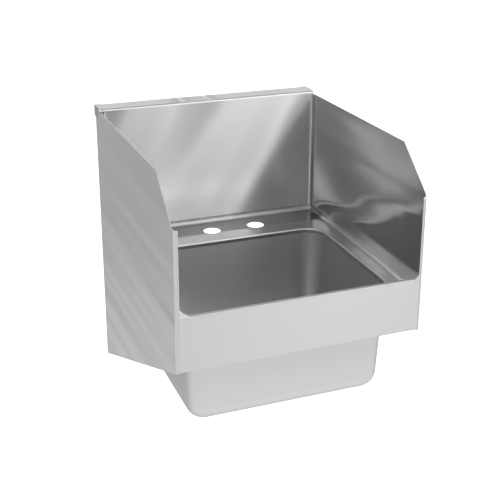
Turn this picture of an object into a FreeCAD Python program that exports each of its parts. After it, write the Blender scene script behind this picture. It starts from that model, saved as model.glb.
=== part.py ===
import FreeCAD
import Part
import Sketcher
import math
import os
import re

# Wall-hung hand basin of bent and drawn stainless sheet: a drawn bowl under a recessed deck,
# a raised front apron, a high back splash that returns to the wall, and a tall panel at each side.
# A basket strainer drains the bowl, and a strip screwed to the wall carries the hooked splash.
# Millimetres. +X is right seen from the front, the wall is the plane y = 0, the front faces -Y and
# +Z is up. Sketches measure heights from the deck's top face. The placement of every piece then
# drops it, so that the origin is on the wall, midway between the two hanger screws.

DRIVING_SIZES = {
    "overall_width": (482.6, "outside face to outside face of the side panels"),
    "overall_depth": (552.5, "wall to the front of the apron"),
    "sheet": (1.5, "thickness of the stainless sheet"),
    "splash_height": (277, "deck to the top of the splash"),
    "return_depth": (50.8, "wall to the front face of the splash"),
    "return_bend": (3, "inside radius of the bends of the splash's top return"),
    "hook_height": (20, "down-turned rear edge of the return"),
    "hook_notch": (3, "room under that edge in the flanges of the panels"),
    "splash_lap": (13, "side flange of the splash, forward of its face"),
    "cap_height": (23, "plate that closes each end of the return, with the return"),
    "cap_relief": (10, "open slot between such a plate and the bend of the return"),
    "clip_run": (94.5, "front of the apron to the start of a panel's clipped corner"),
    "clip_drop": (81, "top edge of a panel to the lower end of that corner"),
    "panel_rear_drop": (309, "deck to the lowest corner of a panel, at the wall"),
    "corner_bend": (6.5, "inside radius of the bend at a panel's front edge"),
    "lip_flat": (1, "flat lip past that bend"),
    "wall_flange": (18, "flange against the wall, from the panel's outside face"),
    "wall_bend": (3, "inside radius of the bend at that flange"),
    "foot_hole": (7, "lower wall screw hole in each flange"),
    "foot_hole_rise": (64, "lowest corner of a panel to that hole"),
    "foot_hole_inset": (10.5, "outside face of the panel to that hole"),
    "cove": (8, "inside radius where the deck turns up"),
    "corner_cove": (8, "inside radius of the deck's and splash's upright corners"),
    "upturn": (12, "turned-up edge of the deck"),
    "apron_rise": (31.75, "deck to the top of the apron"),
    "apron_drop": (74, "deck to the bottom of the apron"),
    "apron_bend": (2, "inside radius of the apron's bends"),
    "apron_top_return": (8, "top return of the apron"),
    "apron_foot_return": (14, "bottom return of the apron"),
    "left_gusset_width": (20, "welded corner plate on the apron, along it"),
    "left_gusset_height": (16, "the same, up the panel's lip"),
    "right_gusset_width": (8, "welded corner plate on the apron, along it"),
    "right_gusset_height": (8, "the same, up the panel's lip"),
    "gusset_root": (2, "foot of a corner plate, below the apron's top"),
    "gusset_curve": (60, "radius of the hollow edge of a corner plate"),
    "weld_gap": (0.1, "room between a corner plate and the apron's bend"),
    "side_land": (35.3, "outside face of a panel to the opening in the deck"),
    "front_land": (50, "front of the apron to the opening"),
    "bowl_setback": (162, "wall to the rear edge of the opening"),
    "bowl_depth": (225.5, "deck to the underside of the bowl"),
    "bowl_draft": (3.1, "lean of the bowl's walls, in degrees"),
    "floor_radius": (35, "inside radius between the bowl's walls and floor"),
    "lip_depth": (10, "deck to the seam between lip and bowl"),
    "lip_radius": (4, "rounding of the opening's edge"),
    "faucet_spacing": (101.6, "centres of the two faucet holes"),
    "faucet_hole": (38.1, "diameter of a faucet hole"),
    "faucet_setback": (104, "wall to the row of faucet holes"),
    "faucet_offset": (31, "middle of the basin to the middle of the pair, to the right"),
    "hanger_gap": (3.3, "end of the wall hanger to the flange of a panel"),
    "hanger_sheet": (2, "thickness of the wall hanger"),
    "hanger_leg": (38, "part of the hanger against the wall"),
    "grip_room": (1.5, "top of the hanger to the bend of the return"),
    "hook_clearance": (0.5, "room for the hook between hanger and wall"),
    "hanger_screw_inset": (16.8, "end of the hanger to a screw hole"),
    "hanger_screw_hole": (7, "diameter of a hanger screw hole"),
    "hanger_screw_drop": (20, "seat of the hook to the hanger screws"),
    "drain_hole": (89, "hole in the bowl's floor"),
    "drain_seat": (118, "diameter of the sunk seat round that hole"),
    "drain_seat_depth": (2.5, "depth of that seat"),
    "flange_diameter": (114, "flange of the drain body"),
    "flange_thickness": (2, "thickness of that flange"),
    "cup_diameter": (86, "outside of the drain body's cup"),
    "cup_wall": (2, "wall of the drain body"),
    "cup_depth": (42, "seat of the flange to the inside of the cup's floor"),
    "outlet_diameter": (44.5, "outside of the outlet"),
    "outlet_length": (24, "outlet below the cup"),
    "throat_rim": (2.5, "wall of the outlet"),
    "spider_drop": (8, "floor of the cup to the top of the cross bars"),
    "spider_height": (4, "height of the cross bars"),
    "spider_bar": (4, "width of a cross bar"),
    "spider_hub": (15, "diameter of the ring that the bars carry"),
    "guide_clearance": (0.6, "radial room of the basket's post in that ring"),
    "thread_clearance": (0.25, "radial room of the rings and nut round the cup"),
    "gasket_diameter": (108, "rubber ring under the bowl"),
    "gasket_thickness": (3.2, "thickness of that ring"),
    "friction_ring": (1.2, "thickness of the fibre ring under it"),
    "nut_diameter": (100, "locknut between its lugs"),
    "nut_height": (9, "height of the locknut"),
    "lug_length": (5, "lug of the locknut, past its rim"),
    "lug_width": (14, "width of a lug"),
    "basket_bore": (66, "inside diameter of the strainer basket"),
    "basket_rim": (5.5, "rim of the basket, past its wall"),
    "basket_depth": (26, "height of the basket"),
    "basket_sheet": (1, "thickness of the basket"),
    "floor_slot_start": (14, "middle of the basket to a slot in its floor"),
    "floor_slot_length": (14, "length of such a slot"),
    "basket_slot_width": (3, "width of a slot in the basket"),
    "wall_slot_height": (13, "height of a slot in the basket's wall"),
    "post_diameter": (6, "stem that carries the basket"),
    "post_tip": (9, "stem below the cross bars' underside"),
    "knob_diameter": (17, "knob on top of the stem"),
    "knob_height": (7, "height of that knob"),
    "knob_rise": (24, "basket's floor to the knob"),
    "post_clearance": (0.15, "radial room of the pieces on the stem"),
    "stopper_diameter": (54, "rubber disc under the basket"),
    "stopper_thickness": (5, "thickness of that disc"),
    "seat_clearance": (0.3, "stopper to the floor of the cup"),
    "post_nut_width": (10, "across the flats of the nut under the stopper"),
    "post_nut_height": (4, "height of that nut"),
}

# Places that follow from the driving sizes. Heights are from the deck's top face, up.
# The opening's corner radius is the one that makes each lower corner of the bowl part of a ball.
# The drain lies halfway between the bowl's middle and the rearmost place that the floor has for it.
PLACES = {
    "half": "(overall_width / 2)",
    "inner_half": "(half - sheet)",
    "splash_back": "(return_depth - sheet)",
    "apron_back": "(overall_depth - sheet)",
    "front_lip": "(corner_bend + sheet + lip_flat)",
    "seam_half": "(half - front_lip)",
    "flat_half": "(inner_half - sheet - corner_cove)",
    "return_front": "(splash_back - return_bend)",
    "cap_front": "(return_front - cap_relief)",
    "wall_corner": "(wall_bend + sheet)",
    "return_under": "(splash_height - sheet)",
    "bend_start": "(return_under - return_bend)",
    "flange_front": "(return_depth + splash_lap)",
    "wall_loop": "(flange_front + 2 * corner_cove + sheet)",
    "hook_low": "(splash_height - hook_height)",
    "cap_low": "(splash_height - cap_height)",
    "hanger_front": "(sheet + hook_clearance)",
    "grip_top": "(bend_start - grip_room)",
    "screw_height": "(hook_low - hanger_screw_drop)",
    "panel_height": "(bend_start - sheet)",
    "panel_top_run": "(overall_depth - clip_run)",
    "clip_height": "(panel_height - clip_drop)",
    "foot_hole_drop": "(panel_rear_drop - foot_hole_rise)",
    "hanger_half": "(half - wall_flange - hanger_gap)",
    "screw_half": "(hanger_half - hanger_screw_inset)",
    "bowl_half": "(half - side_land)",
    "bowl_front": "(overall_depth - front_land)",
    "bowl_middle": "((bowl_setback + bowl_front) / 2)",
    "foot_corner": "((floor_radius + sheet) * (1 - sin(bowl_draft)) / cos(bowl_draft))",
    "bowl_corner": "(foot_corner + (bowl_depth - lip_depth) * tan(bowl_draft) - sheet)",
    "drain_rearmost": "(bowl_setback + bowl_corner + drain_seat / 2)",
    "drain_setback": "((bowl_middle + drain_rearmost) / 2)",
    "floor_top": "(sheet - bowl_depth)",
    "seat_top": "(floor_top - drain_seat_depth)",
    "cup_floor": "(seat_top - cup_depth)",
    "outlet_top": "(cup_floor - cup_wall)",
    "outlet_low": "(outlet_top - outlet_length)",
    "outlet_bore": "(outlet_diameter / 2 - throat_rim)",
    "spider_top": "(cup_floor - spider_drop)",
    "spider_low": "(spider_top - spider_height)",
    "gasket_top": "(seat_top - sheet)",
    "ring_top": "(gasket_top - gasket_thickness)",
    "nut_top": "(ring_top - friction_ring)",
    "stopper_low": "(cup_floor + seat_clearance)",
    "basket_low": "(stopper_low + stopper_thickness)",
    "basket_top": "(basket_low + basket_depth)",
    "basket_outside": "(basket_bore / 2 + basket_sheet)",
    "ring_bore": "(cup_diameter / 2 + thread_clearance)",
    "post_bore": "(post_diameter / 2 + post_clearance)",
}

# Left, front, right and rear of the bowl's opening, and of the outside of its wall there
BOWL_MOUTH = (
    "-bowl_half",
    "-bowl_front",
    "bowl_half",
    "-bowl_setback",
)
BOWL_OUTSIDE = (
    "-(bowl_half + sheet)",
    "-(bowl_front + sheet)",
    "(bowl_half + sheet)",
    "(sheet - bowl_setback)",
)

LUG_COUNT = 6
SPIDER_ARMS = 4
BASKET_SLOTS = 10
HEX_SIDES = 6
NEAR = 1e-4

doc = FreeCAD.newDocument("hand_basin")
sizes = doc.addObject("Spreadsheet::Sheet", "sizes")
for row, (alias, (number, meaning)) in enumerate(DRIVING_SIZES.items(), start=1):
    sizes.set("A%d" % row, alias.replace("_", " "))
    sizes.set("B%d" % row, str(number))
    sizes.set("C%d" % row, meaning)
    sizes.setAlias("B%d" % row, alias)
doc.recompute()


def formula(text):
    """Writes out the named places and points every driving size at its cell."""
    def word(match):
        name = match.group(0)
        if name in PLACES:
            return formula(PLACES[name])
        if name in DRIVING_SIZES:
            return "sizes." + name
        return name

    return re.sub(r"[a-z_]+", word, text)


def at(text):
    """The present value of a formula."""
    return float(sizes.evalExpression(formula(text)))


# Bodies and sketches

def new_piece(label):
    piece = doc.addObject("PartDesign::Body", label)
    piece.setExpression("Placement.Base.z", formula("-screw_height"))
    return piece


def new_sketch(piece, name, plane_role, offset="0"):
    """A sketch on one of the piece's own origin planes, moved along that plane's normal."""
    drawing = piece.newObject("Sketcher::SketchObject", name)
    plane = [item for item in piece.Origin.OriginFeatures if item.Role == plane_role][0]
    drawing.AttachmentSupport = [(plane, "")]
    drawing.MapMode = "FlatFace"
    drawing.setExpression("AttachmentOffset.Base.z", formula(offset))
    return drawing


def place_point(drawing, geometry, point, across, up):
    for kind, text in (("DistanceX", across), ("DistanceY", up)):
        limit = Sketcher.Constraint(kind, -1, 1, geometry, point, at(text))
        index = drawing.addConstraint(limit)
        drawing.setExpression("Constraints[%d]" % index, formula(text))


def draw_outline(drawing, corners):
    """A closed outline of straight lines, each corner placed by two formulas."""
    first = drawing.GeometryCount
    spots = [FreeCAD.Vector(at(across), at(up), 0) for across, up in corners]
    for start, end in zip(spots, spots[1:] + spots[:1]):
        drawing.addGeometry(Part.LineSegment(start, end), False)
    count = len(corners)
    for index in range(count):
        following = first + (index + 1) % count
        drawing.addConstraint(Sketcher.Constraint("Coincident", first + index, 2, following, 1))
    for index, (across, up) in enumerate(corners):
        place_point(drawing, first + index, 1, across, up)


def draw_box(drawing, left, low, right, high):
    draw_outline(drawing, [(left, low), (right, low), (right, high), (left, high)])


def draw_rounded_box(drawing, left, low, right, high, radius):
    """A box of four lines with a tangent arc of the same radius at each corner."""
    round_by = at(radius)
    centres = [
        ("%s - %s" % (right, radius), "%s + %s" % (low, radius)),
        ("%s - %s" % (right, radius), "%s - %s" % (high, radius)),
        ("%s + %s" % (left, radius), "%s - %s" % (high, radius)),
        ("%s + %s" % (left, radius), "%s + %s" % (low, radius)),
    ]
    spots = [FreeCAD.Vector(at(across), at(up), 0) for across, up in centres]
    up_axis = FreeCAD.Vector(0, 0, 1)
    arcs = []
    for quarter, spot in enumerate(spots):
        start = math.radians(90 * (quarter - 1))
        curve = Part.ArcOfCircle(Part.Circle(spot, up_axis, round_by), start, start + math.pi / 2)
        arcs.append(curve)
    first = drawing.GeometryCount
    for arc, following in zip(arcs, arcs[1:] + arcs[:1]):
        drawing.addGeometry(arc, False)
        drawing.addGeometry(Part.LineSegment(arc.EndPoint, following.StartPoint), False)
    count = 2 * len(arcs)
    for index in range(count):
        following = first + (index + 1) % count
        drawing.addConstraint(Sketcher.Constraint("Tangent", first + index, 2, following, 1))
    for corner, (across, up) in enumerate(centres):
        arc = first + 2 * corner
        place_point(drawing, arc, 3, across, up)
        limit = drawing.addConstraint(Sketcher.Constraint("Radius", arc, round_by))
        drawing.setExpression("Constraints[%d]" % limit, formula(radius))


def draw_circle(drawing, across, up, diameter):
    middle = FreeCAD.Vector(at(across), at(up), 0)
    circle = Part.Circle(middle, FreeCAD.Vector(0, 0, 1), at(diameter) / 2)
    index = drawing.addGeometry(circle, False)
    place_point(drawing, index, 3, across, up)
    limit = drawing.addConstraint(Sketcher.Constraint("Diameter", index, at(diameter)))
    drawing.setExpression("Constraints[%d]" % limit, formula(diameter))


# Features

def pad(piece, drawing, length, backwards=False, both_ways=False):
    feature = piece.newObject("PartDesign::Pad", drawing.Name + "_pad")
    feature.Profile = drawing
    feature.setExpression("Length", formula(length))
    feature.Reversed = backwards
    if both_ways:
        feature.SideType = "Symmetric"
    doc.recompute()
    return feature


def cut(piece, drawing, length, backwards=False, both_ways=False):
    """Cuts the sketch into the piece and checks that the cut met it."""
    before = piece.Shape.Volume
    feature = piece.newObject("PartDesign::Pocket", drawing.Name + "_cut")
    feature.Profile = drawing
    feature.setExpression("Length", formula(length))
    feature.Reversed = backwards
    if both_ways:
        feature.SideType = "Symmetric"
    doc.recompute()
    if not feature.Shape.Volume < before:
        raise RuntimeError(feature.Name + " cuts nothing")
    return feature


def turn(piece, drawing):
    """A solid of revolution about the sketch's upright axis."""
    feature = piece.newObject("PartDesign::Revolution", drawing.Name + "_turn")
    feature.Profile = drawing
    feature.ReferenceAxis = (drawing, ["V_Axis"])
    feature.Angle = 360
    doc.recompute()
    return feature


def repeat_round(piece, feature, count):
    """Copies a feature round the piece's upright axis."""
    pattern = piece.newObject("PartDesign::PolarPattern", feature.Name + "_ring")
    pattern.Originals = [feature]
    pattern.Axis = (feature.Profile[0], ["N_Axis"])
    pattern.Angle = 360
    pattern.Occurrences = count
    piece.Tip = pattern
    doc.recompute()
    return pattern


def round_edges(piece, feature, name, edges, radius):
    if not edges:
        raise RuntimeError(name + " finds no edge")
    rounding = piece.newObject("PartDesign::Fillet", name)
    rounding.Base = (feature, edges)
    rounding.setExpression("Radius", formula(radius))
    doc.recompute()
    return rounding


def level_faces(feature, height):
    level = at(height)
    return [
        "Face%d" % number
        for number, face in enumerate(feature.Shape.Faces, start=1)
        if abs(face.BoundBox.ZMin - level) < NEAR and abs(face.BoundBox.ZMax - level) < NEAR
    ]


def lean_walls(piece, feature, name, height, angle):
    """Leans every upright face of the solid about the height at which it keeps its place."""
    walls = [
        "Face%d" % number
        for number, face in enumerate(feature.Shape.Faces, start=1)
        if face.BoundBox.ZLength > NEAR
    ]
    leaning = piece.newObject("PartDesign::Draft", name)
    leaning.Base = (feature, walls)
    leaning.NeutralPlane = (feature, level_faces(feature, height))
    leaning.setExpression("Angle", formula(angle))
    leaning.Reversed = True
    doc.recompute()
    if not leaning.Shape.Volume < feature.Shape.Volume:
        raise RuntimeError(name + " leans the wrong way")
    return leaning


def hollow(piece, feature, name, open_height):
    """Leaves a wall of one sheet inside the solid, open at its top face."""
    shell = piece.newObject("PartDesign::Thickness", name)
    shell.Base = (feature, level_faces(feature, open_height))
    shell.setExpression("Value", formula("sheet"))
    shell.Reversed = True
    doc.recompute()
    if not shell.Shape.Volume < feature.Shape.Volume:
        raise RuntimeError(name + " hollows nothing")
    return shell


# Edges are found by where they lie, so that they are found again after a change of size.

def edge_names(feature, test):
    return ["Edge%d" % number for number, edge in enumerate(feature.Shape.Edges, start=1) if test(edge)]


def upright_edges(feature, spots):
    """Edges along Z at the given places across and along the depth."""
    places = [(at(across), at(depth)) for across, depth in spots]

    def test(edge):
        box = edge.BoundBox
        return box.ZLength > NEAR and any(
            max(abs(box.XMin - x), abs(box.XMax - x), abs(box.YMin - y), abs(box.YMax - y)) < NEAR
            for x, y in places
        )

    return edge_names(feature, test)


def cross_edges(feature, spots):
    """Edges along X at the given places along the depth and up."""
    places = [(at(depth), at(height)) for depth, height in spots]

    def test(edge):
        box = edge.BoundBox
        return box.XLength > NEAR and any(
            max(abs(box.YMin - y), abs(box.YMax - y), abs(box.ZMin - z), abs(box.ZMax - z)) < NEAR
            for y, z in places
        )

    return edge_names(feature, test)


def level_edges(feature, height, reach=None):
    """Edges that lie at one height, all of them or those within a reach across and along the depth."""
    level = at(height)
    limits = [at(text) for text in reach] if reach else None

    def test(edge):
        box = edge.BoundBox
        if max(abs(box.ZMin - level), abs(box.ZMax - level)) > NEAR:
            return False
        if not limits:
            return True
        left, front, right, back = limits
        inside_x = left - NEAR < box.XMin and box.XMax < right + NEAR
        return inside_x and front - NEAR < box.YMin and box.YMax < back + NEAR

    return edge_names(feature, test)


# Sheet pieces

def make_back_splash():
    """High sheet with coved side flanges, a top return to the wall and a hook behind it."""
    piece = new_piece("back_splash")
    front = new_sketch(piece, "return_front_bend", "YZ_Plane")
    draw_outline(front, [
        ("-return_depth", "panel_height"),
        ("-return_depth", "splash_height"),
        ("-cap_front", "splash_height"),
        ("-cap_front", "return_under"),
        ("-splash_back", "return_under"),
        ("-splash_back", "panel_height"),
    ])
    shape = pad(piece, front, "2 * half", both_ways=True)
    bend = cross_edges(shape, [("-return_depth", "splash_height")])
    shape = round_edges(piece, shape, "front_outer_bend", bend, "return_bend + sheet")
    bend = cross_edges(shape, [("-splash_back", "return_under")])
    round_edges(piece, shape, "front_inner_bend", bend, "return_bend")
    rear = new_sketch(piece, "return_hook", "YZ_Plane")
    draw_outline(rear, [
        ("-cap_front", "return_under"),
        ("-cap_front", "splash_height"),
        ("0", "splash_height"),
        ("0", "hook_low"),
        ("-sheet", "hook_low"),
        ("-sheet", "return_under"),
    ])
    shape = pad(piece, rear, "2 * flat_half", both_ways=True)
    bend = cross_edges(shape, [("0", "splash_height")])
    shape = round_edges(piece, shape, "hook_outer_bend", bend, "return_bend + sheet")
    bend = cross_edges(shape, [("-sheet", "return_under")])
    round_edges(piece, shape, "hook_inner_bend", bend, "return_bend")
    ends = new_sketch(piece, "return_ends", "XY_Plane", "return_under")
    draw_box(ends, "-half", "-cap_front", "-flat_half", "0")
    draw_box(ends, "flat_half", "-cap_front", "half", "0")
    pad(piece, ends, "sheet")
    wall = new_sketch(piece, "splash_wall", "XY_Plane", "upturn")
    draw_rounded_box(wall, "-inner_half", "-(wall_loop + sheet)", "inner_half", "-splash_back",
                     "(corner_cove + sheet)")
    draw_rounded_box(wall, "-(inner_half - sheet)", "-wall_loop", "(inner_half - sheet)", "-return_depth",
                     "corner_cove")
    pad(piece, wall, "panel_height - upturn")
    trim = new_sketch(piece, "splash_flange_edge", "XY_Plane", "upturn")
    draw_box(trim, "-half", "-2 * wall_loop", "half", "-flange_front")
    cut(piece, trim, "panel_height - upturn", backwards=True)


def make_end_cap(side, sign):
    """Plate that closes one end of the splash's return and laps the outside of the side panel."""
    piece = new_piece(side + "_end_cap")
    plate = new_sketch(piece, side + "_cap_plate", "YZ_Plane", sign + "(half + sheet)")
    draw_box(plate, "-cap_front", "cap_low", "0", "splash_height")
    pad(piece, plate, "sheet", backwards=sign == "+")


def make_side_panel(side, sign):
    """Tall panel with a bent front lip, a clipped top corner and a flange against the wall."""
    piece = new_piece(side + "_side_panel")

    def across(text):
        return "%s(%s)" % (sign, text)

    section = new_sketch(piece, side + "_panel_section", "XY_Plane", "-panel_rear_drop")
    draw_outline(section, [
        (across("seam_half"), "-overall_depth"),
        (across("half"), "-overall_depth"),
        (across("half"), "0"),
        (across("half - wall_flange"), "0"),
        (across("half - wall_flange"), "-sheet"),
        (across("inner_half"), "-sheet"),
        (across("inner_half"), "-apron_back"),
        (across("seam_half"), "-apron_back"),
    ])
    shape = pad(piece, section, "panel_height + panel_rear_drop")
    for name, spot, radius in (
        ("front_outer_bend", ("half", "-overall_depth"), "corner_bend + sheet"),
        ("front_inner_bend", ("inner_half", "-apron_back"), "corner_bend"),
        ("wall_outer_bend", ("half", "0"), "wall_bend + sheet"),
        ("wall_inner_bend", ("inner_half", "-sheet"), "wall_bend"),
    ):
        edges = upright_edges(shape, [(across(spot[0]), spot[1])])
        shape = round_edges(piece, shape, side + "_" + name, edges, radius)
    clip = new_sketch(piece, side + "_clipped_corner", "YZ_Plane")
    draw_outline(clip, [
        ("-panel_top_run", "panel_height"),
        ("-overall_depth", "clip_height"),
        ("-overall_depth", "panel_height"),
    ])
    cut(piece, clip, "2 * overall_width", both_ways=True)
    foot = new_sketch(piece, side + "_sloping_foot", "YZ_Plane")
    draw_outline(foot, [
        ("0", "-panel_rear_drop"),
        ("-overall_depth", "-apron_drop"),
        ("-overall_depth", "-panel_rear_drop"),
    ])
    cut(piece, foot, "2 * overall_width", both_ways=True)
    notch = new_sketch(piece, side + "_hook_notch", "YZ_Plane")
    draw_box(notch, "-wall_corner", "hook_low - hook_notch", "0", "panel_height")
    cut(piece, notch, "2 * overall_width", both_ways=True)
    hole = new_sketch(piece, side + "_foot_hole", "XZ_Plane")
    draw_circle(hole, across("half - foot_hole_inset"), "-foot_hole_drop", "foot_hole")
    cut(piece, hole, "4 * sheet", both_ways=True)


def make_deck():
    """Shallow tray with coved edges, a rolled lip round the bowl's opening and the faucet holes."""
    piece = new_piece("deck")
    block = new_sketch(piece, "deck_block", "XY_Plane", "-sheet")
    draw_box(block, "-inner_half", "-apron_back", "inner_half", "-splash_back")
    shape = pad(piece, block, "upturn + sheet")
    corners = upright_edges(shape, [
        ("-inner_half", "-apron_back"),
        ("inner_half", "-apron_back"),
        ("inner_half", "-splash_back"),
        ("-inner_half", "-splash_back"),
    ])
    shape = round_edges(piece, shape, "deck_corners", corners, "corner_cove + sheet")
    shape = round_edges(piece, shape, "deck_coves", level_edges(shape, "-sheet"), "cove + sheet")
    hollow(piece, shape, "deck_tray", "upturn")
    opening = new_sketch(piece, "bowl_opening", "XY_Plane")
    draw_rounded_box(opening, *BOWL_MOUTH, "bowl_corner")
    cut(piece, opening, "sheet")
    lip = new_sketch(piece, "opening_lip", "XY_Plane", "-sheet")
    draw_rounded_box(lip, *BOWL_OUTSIDE, "(bowl_corner + sheet)")
    draw_rounded_box(lip, *BOWL_MOUTH, "bowl_corner")
    shape = pad(piece, lip, "lip_depth - sheet", backwards=True)
    under = level_edges(shape, "-sheet", BOWL_OUTSIDE)
    shape = round_edges(piece, shape, "lip_under_bend", under, "lip_radius - sheet")
    shape = round_edges(piece, shape, "lip_bend", level_edges(shape, "0", BOWL_MOUTH), "lip_radius")
    holes = new_sketch(piece, "faucet_holes", "XY_Plane")
    draw_circle(holes, "faucet_offset - faucet_spacing / 2", "-faucet_setback", "faucet_hole")
    draw_circle(holes, "faucet_offset + faucet_spacing / 2", "-faucet_setback", "faucet_hole")
    cut(piece, holes, "2 * sheet")


def make_bowl():
    """Drawn bowl that leans in towards its floor, with a sunk seat for the drain."""
    piece = new_piece("bowl")
    rim = new_sketch(piece, "bowl_rim", "XY_Plane", "-lip_depth")
    draw_rounded_box(rim, *BOWL_OUTSIDE, "(bowl_corner + sheet)")
    shape = pad(piece, rim, "bowl_depth - lip_depth", backwards=True)
    shape = lean_walls(piece, shape, "bowl_walls", "-lip_depth", "bowl_draft")
    foot = level_edges(shape, "-bowl_depth")
    shape = round_edges(piece, shape, "bowl_foot", foot, "floor_radius + sheet")
    hollow(piece, shape, "bowl_shell", "-lip_depth")
    seat = new_sketch(piece, "drain_seat_disc", "XY_Plane", "-bowl_depth")
    draw_circle(seat, "0", "-drain_setback", "drain_seat + 2 * sheet")
    pad(piece, seat, "drain_seat_depth", backwards=True)
    sink = new_sketch(piece, "drain_seat_sink", "XY_Plane", "floor_top")
    draw_circle(sink, "0", "-drain_setback", "drain_seat")
    cut(piece, sink, "drain_seat_depth")
    hole = new_sketch(piece, "drain_hole_round", "XY_Plane", "seat_top")
    draw_circle(hole, "0", "-drain_setback", "drain_hole")
    cut(piece, hole, "2 * sheet")


def make_apron():
    """Front apron between the panels' lips, turned back at its top and bottom edges."""
    piece = new_piece("front_apron")
    section = new_sketch(piece, "apron_section", "YZ_Plane")
    draw_outline(section, [
        ("-overall_depth", "-apron_drop"),
        ("-overall_depth", "apron_rise"),
        ("apron_top_return - overall_depth", "apron_rise"),
        ("apron_top_return - overall_depth", "apron_rise - sheet"),
        ("-apron_back", "apron_rise - sheet"),
        ("-apron_back", "sheet - apron_drop"),
        ("apron_foot_return - overall_depth", "sheet - apron_drop"),
        ("apron_foot_return - overall_depth", "-apron_drop"),
    ])
    shape = pad(piece, section, "2 * seam_half", both_ways=True)
    bends = cross_edges(shape, [("-overall_depth", "apron_rise"), ("-overall_depth", "-apron_drop")])
    shape = round_edges(piece, shape, "apron_outer_bends", bends, "apron_bend + sheet")
    bends = cross_edges(shape, [("-apron_back", "apron_rise - sheet"), ("-apron_back", "sheet - apron_drop")])
    round_edges(piece, shape, "apron_inner_bends", bends, "apron_bend")


def make_gusset(side, sign):
    """Corner plate on the apron's top bend, with a hollow curve up to the panel's lip."""
    piece = new_piece(side + "_corner_gusset")
    seam = sign + "seam_half"
    root = "(apron_rise - gusset_root)"
    tip = "(apron_rise + %s_gusset_height)" % side
    inner = "%s(seam_half - %s_gusset_width)" % (sign, side)
    plate = new_sketch(piece, side + "_gusset_plate", "XZ_Plane", "apron_back")
    corners = [(inner, root), (seam, root), (seam, tip), (inner, "apron_rise")]
    spots = [FreeCAD.Vector(at(across), at(up), 0) for across, up in corners]
    middle = (spots[2] + spots[3]) / 2
    chord = spots[3] - spots[2]
    outward = FreeCAD.Vector(-chord.y, chord.x, 0).normalize()
    if outward.dot(middle - spots[1]) < 0:
        outward = outward.negative()
    curve_radius = at("gusset_curve")
    sag = curve_radius - math.sqrt(curve_radius ** 2 - (chord.Length / 2) ** 2)
    hollow_curve = Part.Arc(spots[2], middle - outward * sag, spots[3])
    plate.addGeometry(Part.LineSegment(spots[0], spots[1]), False)
    plate.addGeometry(Part.LineSegment(spots[1], spots[2]), False)
    plate.addGeometry(Part.LineSegment(spots[3], spots[0]), False)
    arc = plate.addGeometry(hollow_curve, False)
    starts_at_tip = plate.getPoint(arc, 1).distanceToPoint(spots[2]) < NEAR
    tip_end, apron_end = (1, 2) if starts_at_tip else (2, 1)
    plate.addConstraint(Sketcher.Constraint("Coincident", 0, 2, 1, 1))
    plate.addConstraint(Sketcher.Constraint("Coincident", 1, 2, arc, tip_end))
    plate.addConstraint(Sketcher.Constraint("Coincident", arc, apron_end, 2, 1))
    plate.addConstraint(Sketcher.Constraint("Coincident", 2, 2, 0, 1))
    place_point(plate, 0, 1, *corners[0])
    place_point(plate, 0, 2, *corners[1])
    place_point(plate, 1, 2, *corners[2])
    place_point(plate, 2, 1, *corners[3])
    limit = plate.addConstraint(Sketcher.Constraint("Radius", arc, curve_radius))
    plate.setExpression("Constraints[%d]" % limit, formula("gusset_curve"))
    pad(piece, plate, "sheet")
    bend = new_sketch(piece, side + "_gusset_seat", "YZ_Plane")
    draw_circle(bend, "apron_bend + sheet - overall_depth", "apron_rise - apron_bend - sheet",
                "2 * (apron_bend + sheet + weld_gap)")
    cut(piece, bend, "2 * overall_width", both_ways=True)


def make_wall_hanger():
    """Strip screwed to the wall, with a step out that takes the hook of the splash."""
    piece = new_piece("wall_hanger")
    section = new_sketch(piece, "hanger_section", "YZ_Plane")
    draw_outline(section, [
        ("0", "hook_low - hanger_leg"),
        ("0", "hook_low"),
        ("-hanger_front", "hook_low"),
        ("-hanger_front", "grip_top"),
        ("-(hanger_front + hanger_sheet)", "grip_top"),
        ("-(hanger_front + hanger_sheet)", "hook_low - hanger_sheet"),
        ("-hanger_sheet", "hook_low - hanger_sheet"),
        ("-hanger_sheet", "hook_low - hanger_leg"),
    ])
    pad(piece, section, "2 * hanger_half", both_ways=True)
    holes = new_sketch(piece, "hanger_screw_holes", "XZ_Plane")
    draw_circle(holes, "-screw_half", "screw_height", "hanger_screw_hole")
    draw_circle(holes, "screw_half", "screw_height", "hanger_screw_hole")
    cut(piece, holes, "4 * hanger_sheet", both_ways=True)


# Drain pieces, turned about the drain's upright axis

def new_drain_piece(label):
    piece = new_piece(label)
    piece.setExpression("Placement.Base.y", formula("-drain_setback"))
    return piece


def turned_outline(piece, name, corners):
    drawing = new_sketch(piece, name, "XZ_Plane")
    draw_outline(drawing, corners)
    return turn(piece, drawing)


def make_ring(label, bore, outside, low, high):
    piece = new_drain_piece(label)
    turned_outline(piece, label + "_section", [(bore, low), (outside, low), (outside, high), (bore, high)])
    return piece


def make_drain_body():
    """Flanged cup whose floor is open to the outlet tube."""
    piece = new_drain_piece("drain_body")
    turned_outline(piece, "body_section", [
        ("cup_diameter / 2 - cup_wall", "seat_top + flange_thickness"),
        ("flange_diameter / 2", "seat_top + flange_thickness"),
        ("flange_diameter / 2", "seat_top"),
        ("cup_diameter / 2", "seat_top"),
        ("cup_diameter / 2", "outlet_top"),
        ("outlet_bore", "outlet_top"),
        ("outlet_bore", "cup_floor"),
        ("cup_diameter / 2 - cup_wall", "cup_floor"),
    ])


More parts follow.
